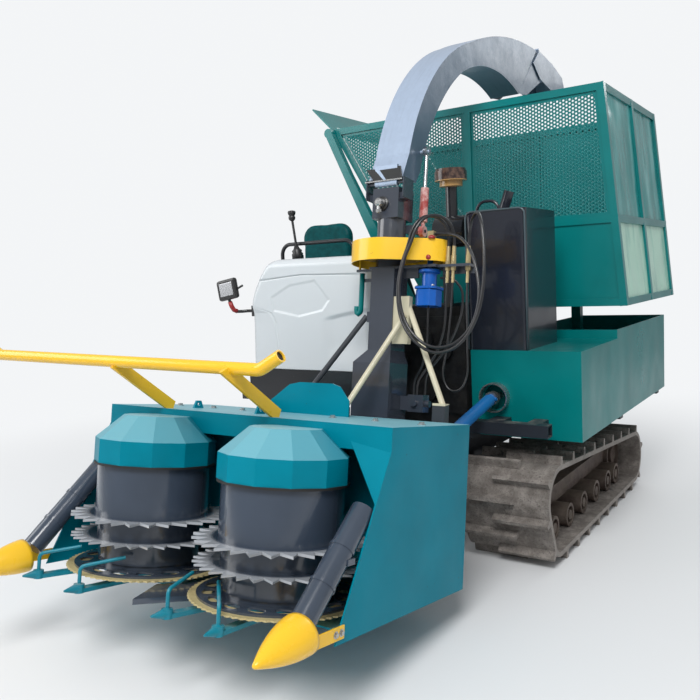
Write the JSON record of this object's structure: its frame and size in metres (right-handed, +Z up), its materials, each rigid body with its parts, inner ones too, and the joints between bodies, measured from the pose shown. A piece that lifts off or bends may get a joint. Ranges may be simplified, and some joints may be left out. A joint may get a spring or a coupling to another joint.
{
  "type": "forage harvester",
  "caption": "Tracked forage harvester with a row-free drum header, a slewing blowing spout and a side-tipping high bin.",
  "frame": {"origin": "middle of the whole outline, on the ground under the tracks", "axes": "+X to the machine's own left as seen from its front (image right), +Y to the rear, +Z up"},
  "size_m": [2.2832, 4.0195, 2.8551],
  "materials": {
    "teal_paint": "semi-gloss paint, dusty",
    "chassis_paint": "paint worn by mud",
    "drum_paint": "dark grey, scuffed",
    "saw_yellow": "yellow paint, scratched",
    "yellow_paint": "gloss yellow paint",
    "galvanised": "dull galvanised sheet",
    "white_shell": "white moulded shell",
    "muddy_rubber": "rubber caked in dry mud",
    "roller_iron": "muddy cast iron",
    "seat_vinyl": "teal vinyl",
    "black_metal": "black paint",
    "cylinder_paint": "black cylinder paint",
    "cylinder_rod": "hard chrome",
    "motor_blue": "blue enamel",
    "chain_steel": "oiled roller chain",
    "cream_paint": "cream paint",
    "mirror_glass": "black moulding",
    "point_steel": "ground-worn steel",
    "engine_iron": "dark engine block",
    "bin_mesh_sheet": "perforated painted sheet",
    "hose_rubber": "black hydraulic hose",
    "coupling_steel": "yellow zinc plated couplings",
    "pale_panel": "glossy pale panels"
  },
  "bodies": {
    "carrier": {"chassis_frame": "chassis_paint", "track_left": "muddy_rubber", "track_right": "muddy_rubber", "track_frames": "roller_iron", "side_bodies": "teal_paint", "engine_block": "engine_iron", "cabinet": "teal_paint", "air_intake": "black_metal", "power_outlet": "motor_blue", "platform": "black_metal", "cowl": "white_shell", "seat_base": "teal_paint", "seat_cushion": "seat_vinyl", "seat_back": "seat_vinyl", "grab_rail": "black_metal", "control_levers": "black_metal", "mirror": "mirror_glass", "bin_stand": "teal_paint"},
    "header": {"header_shell": "teal_paint", "rotor_hoods": "teal_paint", "gearboxes": "teal_paint", "crop_points": "point_steel", "crop_dividers": "teal_paint", "snouts": "yellow_paint", "push_bar": "yellow_paint", "column": "teal_paint", "column_stays": "cream_paint", "slew_motor": "motor_blue", "chain_guard": "yellow_paint", "slew_chain": "chain_steel", "lift_arms": "teal_paint", "hose_couplings": "coupling_steel", "hose_loop_front": "hose_rubber", "hose_loop_rear": "hose_rubber", "hose_drop": "hose_rubber", "motor_hoses": "hose_rubber"},
    "left_rotor": {"rotor_left": "drum_paint", "saw_disc_left": "saw_yellow"},
    "right_rotor": {"rotor_right": "drum_paint", "saw_disc_right": "saw_yellow"},
    "turret": {"turning_tube": "teal_paint"},
    "spout": {"spout": "galvanised"},
    "flap": {"spout_flap": "galvanised"},
    "spout_cylinder": {"spout_barrel": "cylinder_paint"},
    "spout_cylinder_rod": {"spout_rod": "cylinder_rod"},
    "bin": {"bin_frame": "teal_paint", "bin_sheets": "teal_paint", "bin_mesh": "bin_mesh_sheet", "bin_side_sheets": "pale_panel"},
    "lift_cylinders": {"lift_barrels": "cylinder_paint"},
    "lift_cylinder_rods": {"lift_rods": "cylinder_rod"},
    "tip_cylinders": {"tip_barrels": "cylinder_paint"},
    "tip_cylinder_rods": {"tip_rods": "cylinder_rod"},
    "drive_shaft_outer": {"drive_shaft_tube": "black_metal"},
    "drive_shaft_inner": {"drive_shaft_rod": "chain_steel"}
  },
  "joints": [
    {"name": "header_lift", "type": "hinge", "parent": "carrier", "child": "header", "pos_m": [0.105, -0.03, 0.52], "axis": [-1, 0, 0], "range_deg": [-9.5, 2]},
    {"name": "left_rotor_spin", "type": "hinge", "parent": "header", "child": "left_rotor", "pos_m": [-0.237, -1.41202, 0.56084], "axis": [0, 0.1736, 0.9848], "continuous": true},
    {"name": "right_rotor_spin", "type": "hinge", "parent": "header", "child": "right_rotor", "pos_m": [0.447, -1.41202, 0.56084], "axis": [0, 0.1736, 0.9848], "continuous": true},
    {"name": "spout_slew", "type": "hinge", "parent": "header", "child": "turret", "pos_m": [0.32, -0.35438, 1.49132], "axis": [0, 0.1736, 0.9848], "range_deg": [0, 234.5]},
    {"name": "spout_tilt", "type": "hinge", "parent": "turret", "child": "spout", "pos_m": [0.32, -0.35304, 1.86172], "axis": [1, 0, 0], "range_deg": [-1, 15]},
    {"name": "spout_flap", "type": "hinge", "parent": "spout", "child": "flap", "pos_m": [0.31, 1.49, 2.844], "axis": [1, 0, 0], "range_deg": [-8, 20]},
    {"name": "bin_tip", "type": "hinge", "parent": "carrier", "child": "bin", "pos_m": [-0.733, 1.336, 2.37], "axis": [0, -1, 0], "range_deg": [0, 90]},
    {"name": "lift_cylinder_swing", "type": "hinge", "parent": "carrier", "child": "lift_cylinders", "pos_m": [0.105, 0.01, 0.33], "axis": [-1, 0, 0], "range_deg": [-9.44, 1.99]},
    {"name": "lift_cylinder_stroke", "type": "slide", "parent": "lift_cylinders", "child": "lift_cylinder_rods", "axis": [0, -0.9916, -0.1293], "range_m": [-0.0322, 0.0068]},
    {"name": "tip_cylinder_swing", "type": "hinge", "parent": "carrier", "child": "tip_cylinders", "pos_m": [-0.325, 1.35, 1.15], "axis": [0, -1, 0], "range_deg": [-8.3, 0]},
    {"name": "tip_cylinder_stroke", "type": "slide", "parent": "tip_cylinders", "child": "tip_cylinder_rods", "axis": [-0.3243, 0, 0.9459], "range_m": [0, 0.1802]},
    {"name": "spout_cylinder_swing", "type": "hinge", "parent": "turret", "child": "spout_cylinder", "pos_m": [0.435, -0.23304, 1.6324], "axis": [1, 0, 0], "range_deg": [-0.49, 7.24]},
    {"name": "spout_cylinder_stroke", "type": "slide", "parent": "spout_cylinder", "child": "spout_cylinder_rod", "axis": [0, 0.1888, 0.982], "range_m": [-0.0027, 0.0397]},
    {"name": "drive_shaft_swing", "type": "hinge", "parent": "carrier", "child": "drive_shaft_outer", "pos_m": [0.665, -0.02, 0.798], "axis": [-1, 0, 0], "range_deg": [-8.04, 1.7]},
    {"name": "drive_shaft_stroke", "type": "slide", "parent": "drive_shaft_outer", "child": "drive_shaft_inner", "axis": [-0.0945, -0.9568, -0.2749], "range_m": [-0.0091, 0.0429]}
  ],
  "couplings": [
    {"joint": "lift_cylinder_swing", "follows": "header_lift", "ratio": 0.993},
    {"joint": "lift_cylinder_stroke", "follows": "header_lift", "m_per_rad": 0.19398},
    {"joint": "drive_shaft_swing", "follows": "header_lift", "ratio": 0.84573},
    {"joint": "drive_shaft_stroke", "follows": "header_lift", "m_per_rad": -0.25826},
    {"joint": "tip_cylinder_swing", "follows": "bin_tip", "ratio": -0.09216},
    {"joint": "tip_cylinder_stroke", "follows": "bin_tip", "m_per_rad": 0.11468},
    {"joint": "spout_slew", "follows": "bin_tip", "ratio": 2.6},
    {"joint": "spout_cylinder_swing", "follows": "spout_tilt", "ratio": 0.4821},
    {"joint": "spout_cylinder_stroke", "follows": "spout_tilt", "m_per_rad": 0.15128}
  ]
}
